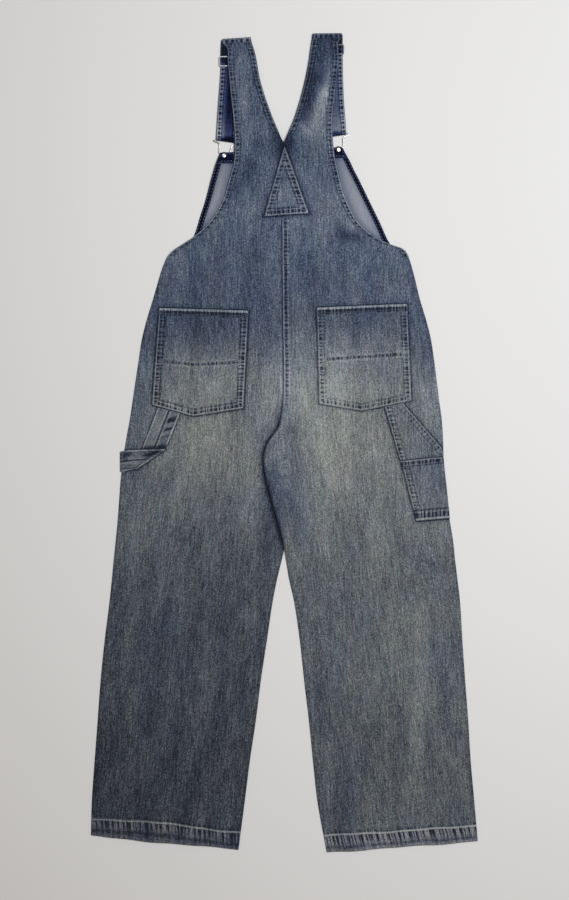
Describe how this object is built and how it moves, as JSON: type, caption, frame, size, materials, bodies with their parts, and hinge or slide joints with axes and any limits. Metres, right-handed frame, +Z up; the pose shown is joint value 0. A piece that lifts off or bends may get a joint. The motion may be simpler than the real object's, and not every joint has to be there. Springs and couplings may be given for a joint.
{
  "type": "denim suspender trousers",
  "caption": "Denim suspender trousers laid face down: cut-on back straps crossing in a V, back pockets, tool pocket, folded hammer loop and wire buckles on the bib.",
  "frame": {"origin": "on the floor, under the middle of the garment's bounding box", "axes": "+Y from the hems to the shoulder straps, +Z up from the floor through the back, +X to the right of the picture, which is the wearer's right"},
  "size_m": [0.703, 1.489, 0.0134],
  "materials": {
    "denim_worn": "washed blue-grey denim with a slubby twill, worn pale on the seat",
    "denim_pale": "the same denim, worn paler on the pockets",
    "denim_dark": "dark indigo denim that has hardly faded",
    "denim_inside": "pale wrong side of the denim",
    "metal_silver": "nickel-plated wire and pressed metal, softly worn"
  },
  "bodies": {
    "root": {"back_left": "denim_worn", "back_right": "denim_worn", "back_triangle": "denim_worn", "front_leg_left": "denim_worn", "front_leg_right": "denim_worn", "front_bib": "denim_inside", "bib_facing_top": "denim_dark", "bib_facing_left": "denim_dark", "bib_facing_right": "denim_dark", "back_pocket_left": "denim_pale", "back_pocket_right": "denim_pale", "tool_pocket_upper": "denim_worn", "tool_pocket_lower": "denim_worn", "hammer_loop": "denim_worn", "strap_front_left": "denim_dark", "strap_front_right": "denim_dark", "buckle_wire_left": "metal_silver", "buckle_wire_right": "metal_silver", "strap_slide_left": "metal_silver", "strap_slide_right": "metal_silver", "button_left": "metal_silver", "button_right": "metal_silver", "rivet_left": "metal_silver", "rivet_right": "metal_silver"}
  },
  "joints": []
}
